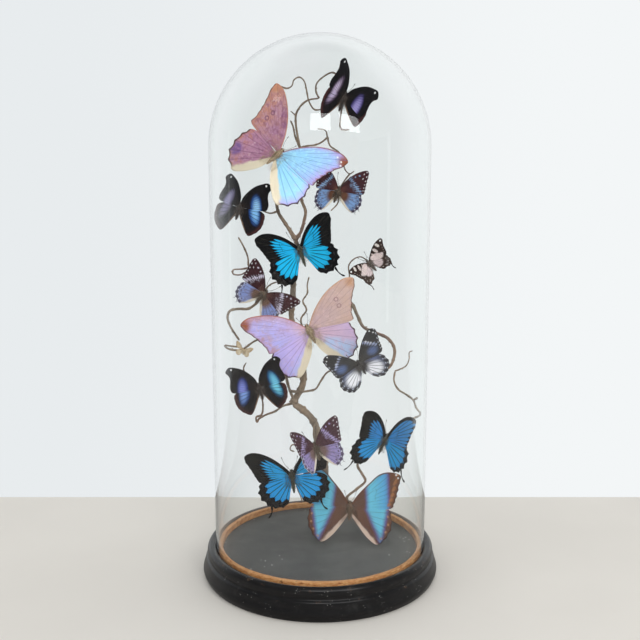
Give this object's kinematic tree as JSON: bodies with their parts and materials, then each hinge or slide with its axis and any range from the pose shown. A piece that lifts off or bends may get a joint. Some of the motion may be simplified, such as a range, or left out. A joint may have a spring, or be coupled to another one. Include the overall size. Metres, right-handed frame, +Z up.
{
  "type": "insect in glass dome",
  "caption": "Mounted butterflies on a curly branch under a tall clear glass dome, on a round black turned base.",
  "frame": {"origin": "centre of the base's underside", "axes": "+Z up along the dome's axis, -Y is the front, towards which the insects face, +X to the viewer's right"},
  "size_m": [0.27, 0.27, 0.6024],
  "materials": {
    "ebonised_wood": "ebonised, worn satin",
    "raw_wood": "bare bent wood",
    "board": "matt slate grey, dusty",
    "glass": "clear blown glass",
    "bark": "dry twig bark",
    "pearly_wings": "pearly scales, pink to sky blue",
    "banded_wings": "brown scales with a turquoise band",
    "swallowtail_wings": "black and metallic blue scales",
    "leafwing_wings": "near black scales with a blue band",
    "charaxes_wings": "maroon brown scales, pale band",
    "graphium_wings": "dark scales with pale windows",
    "diadem_wings": "charcoal and white scales",
    "moth_wings": "cream scales"
  },
  "bodies": {
    "root": {"base_moulding": "ebonised_wood", "hoop": "raw_wood", "display_board": "board", "glass_dome": "glass", "trunk_lower": "bark", "trunk_middle": "bark", "crown_left_limb": "bark", "crown_right_limb": "bark", "left_limb": "bark", "left_stem": "bark", "left_low_twig": "bark", "right_limb": "bark", "right_stem": "bark", "lower_twig": "bark", "lower_left_twig": "bark", "pearly_morpho_upper": "pearly_wings", "pearly_morpho_middle": "pearly_wings", "banded_morpho": "banded_wings", "swallowtail_upper": "swallowtail_wings", "swallowtail_left": "swallowtail_wings", "swallowtail_right": "swallowtail_wings", "leafwing_top": "leafwing_wings", "leafwing_left": "leafwing_wings", "leafwing_lower": "leafwing_wings", "charaxes_right": "charaxes_wings", "charaxes_left": "charaxes_wings", "charaxes_lower": "charaxes_wings", "graphium": "graphium_wings", "diadem": "diadem_wings", "pale_moth": "moth_wings"}
  },
  "joints": []
}
